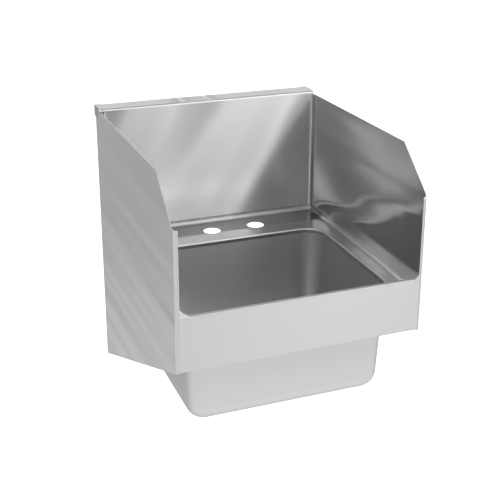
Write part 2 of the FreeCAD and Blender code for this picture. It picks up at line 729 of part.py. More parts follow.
def make_outlet_tube():
    """Tube under the cup, with cross bars that guide the basket's post."""
    piece = make_ring("outlet_tube", "outlet_bore", "outlet_diameter / 2", "outlet_low", "outlet_top")
    bar = new_sketch(piece, "cross_bar", "XY_Plane", "spider_low")
    draw_box(bar, "0", "-spider_bar / 2", "outlet_bore + throat_rim / 2", "spider_bar / 2")
    arm = pad(piece, bar, "spider_height")
    repeat_round(piece, arm, SPIDER_ARMS)
    hub = new_sketch(piece, "guide_ring", "XY_Plane", "spider_low")
    draw_circle(hub, "0", "0", "spider_hub")
    pad(piece, hub, "spider_height")
    guide = new_sketch(piece, "guide_hole", "XY_Plane", "spider_top")
    draw_circle(guide, "0", "0", "post_diameter + 2 * guide_clearance")
    cut(piece, guide, "spider_height")


def make_locknut():
    piece = make_ring("drain_locknut", "ring_bore", "nut_diameter / 2", "nut_top - nut_height", "nut_top")
    lug = new_sketch(piece, "nut_lug", "XY_Plane", "nut_top - nut_height")
    draw_box(lug, "nut_diameter / 2 - lug_length", "-lug_width / 2",
             "nut_diameter / 2 + lug_length", "lug_width / 2")
    shape = pad(piece, lug, "nut_height")
    repeat_round(piece, shape, LUG_COUNT)


def make_strainer_basket():
    """Perforated cup with a turned-out rim and slots in its wall."""
    piece = new_drain_piece("strainer_basket")
    turned_outline(piece, "basket_section", [
        ("post_bore", "basket_low"),
        ("basket_outside", "basket_low"),
        ("basket_outside", "basket_top - basket_sheet"),
        ("basket_outside + basket_rim", "basket_top - basket_sheet"),
        ("basket_outside + basket_rim", "basket_top"),
        ("basket_bore / 2", "basket_top"),
        ("basket_bore / 2", "basket_low + basket_sheet"),
        ("post_bore", "basket_low + basket_sheet"),
    ])
    slot = new_sketch(piece, "basket_floor_slot", "XY_Plane", "basket_low")
    draw_box(slot, "floor_slot_start", "-basket_slot_width / 2",
             "floor_slot_start + floor_slot_length", "basket_slot_width / 2")
    shape = cut(piece, slot, "2 * basket_sheet", backwards=True)
    repeat_round(piece, shape, BASKET_SLOTS)
    slot_low = "basket_low + basket_depth / 2 - wall_slot_height / 2"
    slot = new_sketch(piece, "basket_wall_slot", "XY_Plane", slot_low)
    draw_box(slot, "basket_bore / 2 - basket_sheet", "-basket_slot_width / 2",
             "basket_bore / 2 + 2 * basket_sheet", "basket_slot_width / 2")
    shape = cut(piece, slot, "wall_slot_height", backwards=True)
    repeat_round(piece, shape, BASKET_SLOTS)


def make_basket_post():
    """Stem with a knob, from above the basket's floor down through the cross bars."""
    piece = new_drain_piece("basket_post")
    knob_low = "basket_low + basket_sheet + knob_rise"
    turned_outline(piece, "post_section", [
        ("0", "spider_low - post_tip"),
        ("post_diameter / 2", "spider_low - post_tip"),
        ("post_diameter / 2", knob_low),
        ("knob_diameter / 2", knob_low),
        ("knob_diameter / 2", knob_low + " + knob_height"),
        ("0", knob_low + " + knob_height"),
    ])


def make_post_nut():
    """Six-sided nut that holds the stopper up against the basket."""
    piece = new_drain_piece("post_nut")
    nut = new_sketch(piece, "post_nut_outline", "XY_Plane", "stopper_low")
    corners = []
    for side in range(HEX_SIDES):
        turn_angle = "%d" % (side * 360 // HEX_SIDES)
        corners.append((
            "post_nut_width / 2 / cos(30) * cos(%s)" % turn_angle,
            "post_nut_width / 2 / cos(30) * sin(%s)" % turn_angle,
        ))
    draw_outline(nut, corners)
    draw_circle(nut, "0", "0", "2 * post_bore")
    pad(piece, nut, "post_nut_height", backwards=True)


def finish():
    """Checks every object, then writes each piece to a file of its own name."""
    doc.recompute()
    for item in doc.Objects:
        if "Invalid" in item.State or "Error" in item.State:
            raise RuntimeError(item.Name + " failed: " + ", ".join(item.State))
    pieces = [item for item in doc.Objects if item.TypeId == "PartDesign::Body"]
    for piece in pieces:
        if piece.Shape.isNull() or not piece.Shape.isValid():
            raise RuntimeError(piece.Label + " has no valid shape")
    os.makedirs("parts", exist_ok=True)
    for piece in pieces:
        piece.Shape.exportStep("parts/%s.step" % piece.Label)
        print(piece.Label, len(piece.Shape.Solids), "solid", round(piece.Shape.Volume / 1000, 2), "cm3")


make_back_splash()
make_deck()
make_bowl()
make_apron()
for side_name, side_sign in (("left", "-"), ("right", "+")):
    make_end_cap(side_name, side_sign)
    make_side_panel(side_name, side_sign)
    make_gusset(side_name, side_sign)
make_wall_hanger()
make_drain_body()
make_outlet_tube()
make_ring("drain_gasket", "ring_bore", "gasket_diameter / 2", "ring_top", "gasket_top")
make_ring("drain_friction_ring", "ring_bore", "gasket_diameter / 2", "nut_top", "ring_top")
make_locknut()
make_strainer_basket()
make_basket_post()
make_ring("basket_stopper", "post_bore", "stopper_diameter / 2", "stopper_low", "basket_low")
make_post_nut()
finish()
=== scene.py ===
# %% [markdown]
# # A wall-hung hand basin in satin steel
# The basin is bent and drawn stainless sheet: a high splash, two side panels, a coved deck and a
# bowl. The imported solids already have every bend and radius, so this lesson keeps them and works on
# what they lack: the brushed finish, the welds, the threads of the drain, the turned knob and the
# rolled rim of its basket, the light and the camera.

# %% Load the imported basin
import math
import bmesh
import bpy
from mathutils import Matrix, Vector


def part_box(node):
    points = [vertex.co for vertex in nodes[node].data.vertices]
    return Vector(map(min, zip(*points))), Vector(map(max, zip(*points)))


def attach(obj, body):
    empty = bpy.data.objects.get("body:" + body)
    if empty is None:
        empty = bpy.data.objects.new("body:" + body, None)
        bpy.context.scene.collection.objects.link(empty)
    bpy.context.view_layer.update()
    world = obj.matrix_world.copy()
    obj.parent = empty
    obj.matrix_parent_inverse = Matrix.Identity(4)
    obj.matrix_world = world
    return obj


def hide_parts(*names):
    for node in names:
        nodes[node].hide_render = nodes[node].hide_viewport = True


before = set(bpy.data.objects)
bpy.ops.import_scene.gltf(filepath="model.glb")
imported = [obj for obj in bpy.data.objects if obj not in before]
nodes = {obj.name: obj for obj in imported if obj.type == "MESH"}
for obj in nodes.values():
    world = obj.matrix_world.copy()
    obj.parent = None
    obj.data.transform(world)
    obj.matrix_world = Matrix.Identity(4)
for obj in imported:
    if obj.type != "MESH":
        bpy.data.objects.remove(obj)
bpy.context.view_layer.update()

# %% [markdown]
# ## The camera
# The picture was taken from the front left, half a metre above the splash. A camera is a place,
# three turns and a lens. They could be found by eye, but the straight edges of the sheet give them
# by measure, so they were worked out from those. The view is shifted down, because the middle of
# the lens falls above the middle of the picture.

# %% Place the camera
PICTURE_SIDE = 500
FOCAL_PIXELS = 995.4
SENSOR_WIDTH = 36.0
VIEW_YAW, VIEW_PITCH, VIEW_ROLL = (math.radians(turn) for turn in (21.15, 19.54, 0.16))
CAMERA_PLACE = Vector((-0.672, -2.019, 0.551))
CENTRE_ROW = 200

camera_data = bpy.data.cameras.new("front_left_camera")
camera_data.sensor_width = SENSOR_WIDTH
camera_data.lens = SENSOR_WIDTH * FOCAL_PIXELS / PICTURE_SIDE
camera_data.shift_y = (CENTRE_ROW - PICTURE_SIDE / 2) / PICTURE_SIDE
camera = bpy.data.objects.new("front_left_camera", camera_data)
bpy.context.scene.collection.objects.link(camera)
camera.matrix_world = (
    Matrix.Translation(CAMERA_PLACE)
    @ Matrix.Rotation(-VIEW_YAW, 4, "Z")
    @ Matrix.Rotation(math.pi / 2 - VIEW_PITCH, 4, "X")
    @ Matrix.Rotation(VIEW_ROLL, 4, "Z")
)
bpy.context.scene.camera = camera
bpy.context.scene.view_settings.view_transform = "Standard"
print("lens", round(camera_data.lens, 2), "mm, shift", camera_data.shift_y)

# %% [markdown]
# ## The floor
# The basin hangs over a plain white floor. Lamps alone would leave the floor grey far away, so it
# also glows. The steel doesn't mirror this sheet: the lower tones of the room, set in the next
# step, stand for the floor there, because they are easier to tune.

# %% Lay the floor
FLOOR_DROP = 1.10
FLOOR_REACH = 14.0
FLOOR_CORNERS = ((-1, -1), (1, -1), (1, 1), (-1, 1))
floor_mesh = bpy.data.meshes.new("studio_floor")
floor_mesh.from_pydata(
    [(x * FLOOR_REACH, y * FLOOR_REACH, -FLOOR_DROP) for x, y in FLOOR_CORNERS],
    [], [(0, 1, 2, 3)])
floor = bpy.data.objects.new("studio_floor", floor_mesh)
bpy.context.scene.collection.objects.link(floor)
floor.visible_glossy = False
print("floor at", -FLOOR_DROP)

# %% Paint the floor
FLOOR_WHITE = (0.9, 0.9, 0.9, 1)
FLOOR_ROUGHNESS = 0.9
GLOW_WHITE, GLOW_STRENGTH = (1, 1, 1, 1), 1.0
floor_paint = bpy.data.materials.new("white_floor")
floor_paint.use_nodes = True
paint = floor_paint.node_tree.nodes["Principled BSDF"]
paint.inputs["Base Color"].default_value = FLOOR_WHITE
paint.inputs["Roughness"].default_value = FLOOR_ROUGHNESS
paint.inputs["Emission Color"].default_value = GLOW_WHITE
paint.inputs["Emission Strength"].default_value = GLOW_STRENGTH
floor_mesh.materials.append(floor_paint)
print("floor painted, glow", GLOW_STRENGTH)

# %% [markdown]
# ## The room
# Satin steel shows little of its own: it shows the room, smeared across the grain. So the room is
# part of the finish. Walls could be built, but plain tones by direction are quicker to tune. In
# front of the basin the room is bright at the floor and dim above, which keeps the deck and the
# bowl deep in tone. Behind the basin it is bright from just above the horizon and dark straight up.

# %% Read where each ray goes
REAR_START, REAR_FULL = -0.1, 0.5
world = bpy.data.worlds.new("pale_room")
bpy.context.scene.world = world
world.use_nodes = True
room = world.node_tree
room.nodes.clear()
ray = room.nodes.new("ShaderNodeTexCoord")
ray_axes = room.nodes.new("ShaderNodeSeparateXYZ")
room.links.new(ray.outputs["Generated"], ray_axes.inputs[0])
ray_height = room.nodes.new("ShaderNodeMapRange")
ray_height.inputs["From Min"].default_value = -1.0
room.links.new(ray_axes.outputs["Z"], ray_height.inputs["Value"])
rear_share = room.nodes.new("ShaderNodeMapRange")
rear_share.interpolation_type = "SMOOTHSTEP"
rear_share.inputs["From Min"].default_value = REAR_START
rear_share.inputs["From Max"].default_value = REAR_FULL
room.links.new(ray_axes.outputs["Y"], rear_share.inputs["Value"])
print("the rear tones start at", REAR_START, "and are full at", REAR_FULL)

# %% Give the room its tones
FRONT_TONES = ((0.28, 1.15), (0.42, 0.80), (0.50, 0.55), (0.62, 0.50), (0.80, 0.28))
REAR_TONES = ((0.22, 0.71), (0.35, 0.50), (0.46, 0.58), (0.53, 0.95), (0.80, 0.95), (0.95, 0.15))
MIX_SHARE, MIX_FIRST, MIX_SECOND, MIX_RESULT = 0, 6, 7, 2  # colour sockets of a Mix node


def tone_ramp(tones):
    """Brightness of the room by the height of the ray: 0 is straight down, 1 is straight up."""
    ramp = room.nodes.new("ShaderNodeValToRGB")
    ramp.color_ramp.interpolation = "EASE"
    while len(ramp.color_ramp.elements) < len(tones):
        ramp.color_ramp.elements.new(0.5)
    for stop, (position, tone) in zip(ramp.color_ramp.elements, tones):
        stop.position = position
        stop.color = (tone, tone, tone, 1)
    room.links.new(ray_height.outputs[0], ramp.inputs[0])
    return ramp.outputs["Color"]


room_tone = room.nodes.new("ShaderNodeMix")
room_tone.data_type = "RGBA"
room.links.new(rear_share.outputs[0], room_tone.inputs[MIX_SHARE])
room.links.new(tone_ramp(FRONT_TONES), room_tone.inputs[MIX_FIRST])
room.links.new(tone_ramp(REAR_TONES), room_tone.inputs[MIX_SECOND])
room_light = room.nodes.new("ShaderNodeBackground")
room.links.new(room_tone.outputs[MIX_RESULT], room_light.inputs["Color"])
room_light.inputs["Strength"].default_value = 1.0
room_end = room.nodes.new("ShaderNodeOutputWorld")
room.links.new(room_light.outputs[0], room_end.inputs["Surface"])
print("tones in front and behind:", len(FRONT_TONES), len(REAR_TONES))

# %% [markdown]
# ## Three windows
# Bright bands on brushed steel come from bright shapes in front of it. They could be painted into
# the tones of the room, but flat soft lights are easier to move and also light the inside of the
# bowl. They are placed by the angles at which the splash sees them, because those angles decide
# where a band lies.

# %% Hang the windows
WINDOW_DISTANCE = 2.6
WINDOW_WIDTH, WINDOW_HEIGHT = 0.40, 0.50
SPLASH_MIDDLE = Vector((0.0, -0.05, -0.09))
WINDOWS = (  # name, degrees to the right, degrees up, watts
    ("right_window", 34, 37, 18),
    ("middle_window", 17, 37, 9),
    ("left_window", -40, 35, 12),
)


def hang_window(name, turn_right, turn_up, watts):
    """A flat soft light that faces the middle of the splash."""
    across, up = math.radians(turn_right), math.radians(turn_up)
    heading = Vector((
        math.cos(up) * math.sin(across), -math.cos(up) * math.cos(across), math.sin(up)))
    place = SPLASH_MIDDLE + WINDOW_DISTANCE * heading
    lamp = bpy.data.lights.new(name, "AREA")
    lamp.shape = "RECTANGLE"
    lamp.size, lamp.size_y, lamp.energy = WINDOW_WIDTH, WINDOW_HEIGHT, watts
    window = bpy.data.objects.new(name, lamp)
    bpy.context.scene.collection.objects.link(window)
    window.location = place
    window.rotation_euler = (SPLASH_MIDDLE - place).to_track_quat("-Z", "Y").to_euler()


for window_row in WINDOWS:
    hang_window(*window_row)
print("windows:", len(WINDOWS))

# %% [markdown]
# ## Satin steel
# The sheet is brushed along its length, so light spreads across the grain and hardly along it. A
# bump of fine scratches would need a very large picture to show, so anisotropic gloss does the
# spreading, and a stretched noise varies the gloss and the tone along the grain. The tangent is the
# way the highlight spreads: upwards on the splash and apron, front to back on the side panels. On
# the deck and the bends it spreads evenly.

# %% Tools for a finish
def even(value):
    """The same number three times: a grey, or a stretch that is equal all round."""
    return (value, value, value)


def new_finish(name, colour, metallic, roughness):
    """A material with its shader's own sockets set."""
    finish = bpy.data.materials.new(name)
    finish.use_nodes = True
    shader = finish.node_tree.nodes["Principled BSDF"]
    shader.inputs["Base Color"].default_value = (*colour, 1)
    shader.inputs["Metallic"].default_value = metallic
    shader.inputs["Roughness"].default_value = roughness
    return finish, finish.node_tree, shader


def stretched_noise(tree, stretch, lean=even(0), start=even(0), detail=4.0, cells=False):
    """A noise on the piece's own place, turned, moved and then stretched. Cells give flat spots."""
    place = tree.nodes.new("ShaderNodeTexCoord")
    turned = tree.nodes.new("ShaderNodeMapping")
    turned.inputs["Rotation"].default_value = lean
    turned.inputs["Location"].default_value = start
    stretched = tree.nodes.new("ShaderNodeMapping")
    stretched.inputs["Scale"].default_value = stretch
    noise = tree.nodes.new("ShaderNodeTexVoronoi" if cells else "ShaderNodeTexNoise")
    noise.inputs["Scale"].default_value = 1.0
    if not cells:
        noise.inputs["Detail"].default_value = detail
    tree.links.new(place.outputs["Object"], turned.inputs["Vector"])
    tree.links.new(turned.outputs[0], stretched.inputs["Vector"])
    tree.links.new(stretched.outputs[0], noise.inputs["Vector"])
    return noise.outputs["Color" if cells else "Fac"]


print("a grey of 0.5 is", even(0.5))


# %% Let a noise vary the gloss, the tone or the height
def vary_gloss(tree, shader, noise, roughness, spread):
    """The noise moves the roughness up and down by the spread."""
    gloss = tree.nodes.new("ShaderNodeMapRange")
    gloss.inputs["To Min"].default_value = roughness - spread
    gloss.inputs["To Max"].default_value = roughness + spread
    tree.links.new(noise, gloss.inputs["Value"])
    tree.links.new(gloss.outputs[0], shader.inputs["Roughness"])


def vary_tone(tree, shader, noise, dark, pale):
    """The noise mixes a dark tone and a pale one."""
    tone = tree.nodes.new("ShaderNodeMix")
    tone.data_type = "RGBA"
    tone.inputs[MIX_FIRST].default_value = (*dark, 1)
    tone.inputs[MIX_SECOND].default_value = (*pale, 1)
    tree.links.new(noise, tone.inputs[MIX_SHARE])
    tree.links.new(tone.outputs[MIX_RESULT], shader.inputs["Base Color"])


def add_bump(tree, shader, height, depth):
    """The height turns the way the surface faces, as if it were as deep as given, in metres."""
    bump = tree.nodes.new("ShaderNodeBump")
    bump.inputs["Distance"].default_value = depth
    tree.links.new(height, bump.inputs["Height"])
    tree.links.new(bump.outputs[0], shader.inputs["Normal"])


print("a noise can vary gloss, tone and height")

# %% A finish with a brushed grain
METAL = 1.0
SCRATCH_GLOSS = 0.03
SCRATCH_DARK, SCRATCH_PALE = 0.97, 1.03
GRAIN_ACROSS = (6.0, 900.0, 900.0)
GRAIN_UP = (900.0, 900.0, 6.0)


def satin_steel(name, grey, roughness, anisotropy, spread, grain=GRAIN_ACROSS):
    """Brushed sheet: long scratches along the grain vary the gloss and the tone a little."""
    finish, tree, shader = new_finish(name, even(grey), METAL, roughness)
    shader.inputs["Anisotropic"].default_value = anisotropy
    tangent = tree.nodes.new("ShaderNodeCombineXYZ")
    for axis, part in zip("XYZ", spread):
        tangent.inputs[axis].default_value = part
    tree.links.new(tangent.outputs[0], shader.inputs["Tangent"])
    scratches = stretched_noise(tree, grain)
    vary_gloss(tree, shader, scratches, roughness, SCRATCH_GLOSS)
    vary_tone(tree, shader, scratches, even(SCRATCH_DARK * grey), even(SCRATCH_PALE * grey))
    return finish


print("scratches vary the gloss by", SCRATCH_GLOSS)

# %% The finishes of the sheet
SPREAD_UP = (0.0, 0.05, 1.0)
SPREAD_LEANING = (0.1, -0.03, 0.99)
SPREAD_ALONG = (0.0, 1.0, 0.03)
SHEET_GREY, APRON_GREY, BEND_GREY, EDGE_GREY = 0.62, 0.65, 0.72, 0.60

splash_steel = satin_steel(
    "satin_steel_splash", SHEET_GREY, roughness=0.42, anisotropy=0.95, spread=SPREAD_LEANING)
apron_steel = satin_steel(
    "satin_steel_apron", APRON_GREY, roughness=0.45, anisotropy=0.8, spread=SPREAD_UP)
panel_steel = satin_steel(
    "satin_steel_panels", SHEET_GREY, roughness=0.15, anisotropy=0.4, spread=SPREAD_ALONG,
    grain=GRAIN_UP)
deck_steel = satin_steel(
    "satin_steel_deck", SHEET_GREY, roughness=0.25, anisotropy=0.0, spread=SPREAD_UP)
bend_steel = satin_steel(
    "satin_steel_bend", BEND_GREY, roughness=0.55, anisotropy=0.0, spread=SPREAD_UP)
edge_steel = satin_steel(
    "satin_steel_edge", EDGE_GREY, roughness=0.60, anisotropy=0.0, spread=SPREAD_UP)
bowl_steel = satin_steel(
    "satin_steel_bowl", SHEET_GREY, roughness=0.42, anisotropy=0.5, spread=SPREAD_UP)
print("satin finishes:", sum(made.name.startswith("satin_steel_") for made in bpy.data.materials))

# %% [markdown]
# ## Waves in the sheet
# A large flat sheet is never quite flat. Rolling and welding leave waves, too shallow to see from
# the side, that bend the reflections into bands. Moving the mesh would change the solid, so a broad
# bump does it: slanting on the splash, level on the panels. The bump only turns reflections, and
# its depth is chosen for the look. It is far more than the real waves have, because a satin gloss
# blurs it.

# %% Bend the reflections
SPLASH_STRETCH, SPLASH_LEAN = (4.2, 1.0, 1.2), (0.0, -0.5, 0.0)
SPLASH_START = (0.52, 0.0, 0.0)
PANEL_STRETCH, PANEL_START = (1.0, 1.0, 14.0), (0.0, 0.2, 0.8)
WAVE_DETAIL = 1.0
SPLASH_WAVE, PANEL_WAVE = 0.047, 0.009


def nodes_of(finish):
    """The node tree of a finish and its shader."""
    return finish.node_tree, finish.node_tree.nodes["Principled BSDF"]


tree, shader = nodes_of(splash_steel)
splash_waves = stretched_noise(tree, SPLASH_STRETCH, SPLASH_LEAN, SPLASH_START, WAVE_DETAIL)
add_bump(tree, shader, splash_waves, SPLASH_WAVE)
tree, shader = nodes_of(panel_steel)
panel_waves = stretched_noise(tree, PANEL_STRETCH, start=PANEL_START, detail=WAVE_DETAIL)
add_bump(tree, shader, panel_waves, PANEL_WAVE)
print("waves of", SPLASH_WAVE, "and", PANEL_WAVE)

# %% [markdown]
# ## The crown of the deck
# Drawing the lip pulls the deck into a slight crown, and towards the splash it falls away again.
# That is why its rear half mirrors the dark foot of the splash and its front half the bright room.
# The solid is flat there, and moving its mesh would change it, so a bump along the depth of the
# deck turns the reflection. As with the waves, its depth is chosen for the look and is more than
# the real fall.

# %% Let the deck fall to the rear
FALL_START, FALL_END, FALL_DEPTH = -0.125, -0.045, 0.025
tree, shader = nodes_of(deck_steel)
deck_place = tree.nodes.new("ShaderNodeTexCoord")
deck_axes = tree.nodes.new("ShaderNodeSeparateXYZ")
tree.links.new(deck_place.outputs["Object"], deck_axes.inputs[0])
fall = tree.nodes.new("ShaderNodeMapRange")
fall.interpolation_type = "SMOOTHSTEP"
fall.inputs["From Min"].default_value = FALL_START
fall.inputs["From Max"].default_value = FALL_END
fall.inputs["To Min"].default_value = 1.0
fall.inputs["To Max"].default_value = 0.0
tree.links.new(deck_axes.outputs["Y"], fall.inputs["Value"])
add_bump(tree, shader, fall.outputs[0], FALL_DEPTH)
print("deck falls from", FALL_START, "to", FALL_END)

# %% [markdown]
# ## Dressing the sheet
# One finish for each sheet would do from afar. But on such a basin the bends are ground after
# welding: the rolled lip of the deck and its rear cove, the top of the apron and the front of the
# return have no grain left and shine less. The front lips of the panels match the apron. The solids
# keep one mesh for each sheet, so faces are chosen by where they look and lie.

# %% Ways to dress a piece
BEND_LEAN, FLAT_LEAN = 0.2, 0.97
LIP_REACH = 0.012
well_low, well_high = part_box("bowl")
dressed = set()


def dress(finish, *names):
    """Whole pieces get one finish."""
    for name in names:
        mesh = nodes[name].data
        mesh.materials.clear()
        mesh.materials.append(finish)
        dressed.add(name)


def dress_faces(finish, name, chosen):
    """Some faces of a piece get one more finish."""
    mesh = nodes[name].data
    mesh.materials.append(finish)
    for face in mesh.polygons:
        if chosen(face):
            face.material_index = len(mesh.materials) - 1


def leaning(face):
    """A face that is neither upright nor level: it belongs to a bend."""
    return BEND_LEAN < face.normal.z < FLAT_LEAN


def in_opening(face):
    """A face of the deck over the bowl or close to it: it belongs to the rolled lip."""
    return (well_low.x - LIP_REACH < face.center.x < well_high.x + LIP_REACH
            and well_low.y - LIP_REACH < face.center.y < well_high.y + LIP_REACH)


print("a bend leans between", BEND_LEAN, "and", FLAT_LEAN)

# %% Dress the sheet pieces
RETURN_LOW = 0.030
COVE_FRONT = -0.10
COVE_FACING = -0.3
LIP_FACING = -0.6


def of_return(face):
    """A bend at the top of the splash."""
    return leaning(face) and face.center.z > RETURN_LOW


def of_rear_cove(face):
    """The bend where the deck turns up to the splash."""
    return leaning(face) and face.center.y > COVE_FRONT and face.normal.y < COVE_FACING


dress(splash_steel, "back_splash")
dress_faces(bend_steel, "back_splash", of_return)
dress(apron_steel, "front_apron")
dress_faces(edge_steel, "front_apron", lambda face: face.normal.z > BEND_LEAN)
dress(panel_steel, "left_side_panel", "right_side_panel")
for name in ("left_side_panel", "right_side_panel"):
    dress_faces(apron_steel, name, lambda face: face.normal.y < LIP_FACING)
dress(deck_steel, "deck")
dress_faces(edge_steel, "deck", of_rear_cove)
dress_faces(bend_steel, "deck", lambda face: leaning(face) and in_opening(face))
dress(bowl_steel, "bowl")
print("sheet pieces dressed:", len(dressed))

# %% [markdown]
# ## Small pieces and hidden pieces
# The corner plates and the end caps are welded on and ground, so they are duller than the sheet and
# have no grain. The wall strip is galvanised, with the flat crystals of zinc. The drain is
# polished, its nut is cast, and its seals are rubber and pressed fibre. Each could have a tree of
# its own, but one mottled finish with other spots serves them all.

# %% A mottled finish
MOTTLE_GLOSS = 0.08
NOT_METAL = 0.0


def mottled(name, dark, pale, roughness, stretch, depth=0.0, metallic=METAL, cells=False):
    """A finish with spots of two tones, a varied gloss and, if deep, a bump of the same spots."""
    finish, tree, shader = new_finish(name, pale, metallic, roughness)
    spots = stretched_noise(tree, stretch, cells=cells)
    vary_tone(tree, shader, spots, dark, pale)
    vary_gloss(tree, shader, spots, roughness, MOTTLE_GLOSS)
    if depth:
        add_bump(tree, shader, spots, depth)
    return finish


print("spots vary the gloss by", MOTTLE_GLOSS)

# %% Mottled metals
ground_steel = mottled(
    "ground_weld_steel", even(0.52), even(0.86), roughness=0.38, stretch=even(300.0), depth=0.0009)
cap_steel = mottled(
    "ground_cap_steel", even(0.40), even(0.52), roughness=0.40, stretch=(60.0, 500.0, 60.0))
zinc_coat = mottled(
    "galvanised_coat", (0.44, 0.46, 0.47), (0.62, 0.64, 0.65), roughness=0.42,
    stretch=even(110.0), cells=True)
polished_steel = mottled(
    "polished_steel", even(0.68), (0.76, 0.76, 0.75), roughness=0.14, stretch=even(30.0))
cast_zinc = mottled(
    "cast_zinc", (0.42, 0.42, 0.43), (0.56, 0.56, 0.57), roughness=0.50, stretch=even(900.0),
    depth=0.0003)
dress(ground_steel, "left_corner_gusset", "right_corner_gusset")
dress(cap_steel, "left_end_cap", "right_end_cap")
dress(zinc_coat, "wall_hanger")
dress(polished_steel, "drain_body", "outlet_tube", "strainer_basket", "basket_post", "post_nut")
dress(cast_zinc, "drain_locknut")
print("pieces dressed so far:", len(dressed))

# %% Rubber and fibre
rubber = mottled(
    "black_rubber", even(0.020), even(0.045), roughness=0.65, stretch=even(700.0), depth=0.0002,
    metallic=NOT_METAL)
fibre = mottled(
    "pressed_fibre", (0.30, 0.22, 0.13), (0.50, 0.40, 0.28), roughness=0.80,
    stretch=(900.0, 250.0, 900.0), depth=0.0003, metallic=NOT_METAL)
dress(rubber, "drain_gasket", "basket_stopper")
dress(fibre, "drain_friction_ring")
print("pieces dressed:", len(dressed), "of", len(nodes))

# %% [markdown]
# ## Weld beads
# The sheets are joined by welds. Where they show they are ground flush, but a bead is left round
# the end caps, behind the corner plates and under the rim of the bowl. A bead is a row of
# overlapping drops. A plain tube looks like wire, so the tube's radius falls along each drop and
# jumps back at the next.

# %% Make a closed piece
MERGE_DISTANCE = 1e-6
EDGE_ANGLE = 35


def add_piece(name, points, faces, finish, body, sharp=EDGE_ANGLE):
    """A closed mesh with shared points, its faces turned outwards, that rides on one body."""
    mesh = bpy.data.meshes.new(name)
    mesh.from_pydata(points, [], faces)
    form = bmesh.new()
    form.from_mesh(mesh)
    bmesh.ops.remove_doubles(form, verts=form.verts, dist=MERGE_DISTANCE)
    bmesh.ops.recalc_face_normals(form, faces=form.faces)
    form.to_mesh(mesh)
    form.free()
    mesh.polygons.foreach_set("use_smooth", [True] * len(mesh.polygons))
    mesh.set_sharp_from_angle(angle=math.radians(sharp))
    mesh.materials.append(finish)
    piece = bpy.data.objects.new(name, mesh)
    bpy.context.scene.collection.objects.link(piece)
    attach(piece, body)
    return piece


def join_rings(ring_count, sides, closed, loop=True):
    """Quads between neighbouring rings. An open row of looped rings gets flat ends."""
    faces = []
    for ring in range(ring_count if closed else ring_count - 1):
        here, after = ring * sides, (ring + 1) % ring_count * sides
        for side in range(sides if loop else sides - 1):
            other = (side + 1) % sides
            faces.append((here + side, here + other, after + other, after + side))
    if loop and not closed:
        faces.append(tuple(range(sides)))
        faces.append(tuple(range((ring_count - 1) * sides, ring_count * sides)))
    return faces


print("two rings of 8 give", len(join_rings(2, 8, False)), "faces")

# %% A bead along a path
DROP_LENGTH = 0.0036
DROP_STEPS = 3
DROP_SWELL, DROP_FALL = 1.1, 0.3
BEAD_SIDES = 8
BEAD_ANGLE = 60


def step_along(corners, step):
    """Points at about equal steps along straight runs between the corners."""
    points = [corners[0]]
    for start, end in zip(corners, corners[1:]):
        count = max(1, round((end - start).length / step))
        points += [start.lerp(end, number / count) for number in range(1, count + 1)]
    return points


def weld_bead(name, corners, normal, radius, closed=False):
    """A row of drops along a flat path. The normal of its plane keeps the rings from twisting."""
    path = step_along([Vector(corner) for corner in corners], DROP_LENGTH / DROP_STEPS)
    if closed:
        path.pop()
    last = len(path) - 1
    points = []
    for number, spot in enumerate(path):
        before = path[number - 1] if number or closed else spot
        after = path[(number + 1) % len(path)] if number < last or closed else spot
        sideways = (after - before).normalized().cross(normal)
        swell = radius * (DROP_SWELL - DROP_FALL * (number % DROP_STEPS) / DROP_STEPS)
        for side in range(BEAD_SIDES):
            turn = 2 * math.pi * side / BEAD_SIDES
            points.append(spot + swell * (math.cos(turn) * normal + math.sin(turn) * sideways))
    faces = join_rings(len(path), BEAD_SIDES, closed)
    return add_piece(name, points, faces, ground_steel, "basin", BEAD_ANGLE)


print("drops of", 1000 * DROP_LENGTH, "mm")

# %% Beads of the end caps and the corner plates
CAP_BEAD = 0.0010
CORNER_BEAD = 0.0009
ALONG_X, ALONG_Y, ALONG_Z = (Vector(axis) for axis in ((1, 0, 0), (0, 1, 0), (0, 0, 1)))
for side in ("left", "right"):
    cap_low, cap_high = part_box(side + "_end_cap")
    panel_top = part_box(side + "_side_panel")[1].z
    inner = cap_high.x if side == "left" else cap_low.x
    rear = cap_high.y - 2 * CAP_BEAD
    corners = [
        (inner, rear, cap_low.z), (inner, cap_low.y, cap_low.z), (inner, cap_low.y, panel_top)]
    weld_bead(side + "_cap_weld", corners, ALONG_X, CAP_BEAD)

    plate_low, plate_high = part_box(side + "_corner_gusset")
    seam, toe = (plate_low.x, plate_high.x) if side == "left" else (plate_high.x, plate_low.x)
    back, foot, tip = plate_high.y, plate_low.z, plate_high.z
    corners = [(seam, back, tip - CORNER_BEAD), (seam, back, foot), (toe, back, foot)]
    weld_bead(side + "_corner_weld", corners, ALONG_Y, CORNER_BEAD)
    print(side, "cap and corner welded")

# %% [markdown]
# ## The bead under the deck
# The bowl is drawn on its own, trimmed, and welded to the lip of the deck from outside. The bead
# runs once round it. Its path could be read from the bowl's mesh, but it is only a rectangle with
# round corners, so four arcs and their straight runs are simpler.

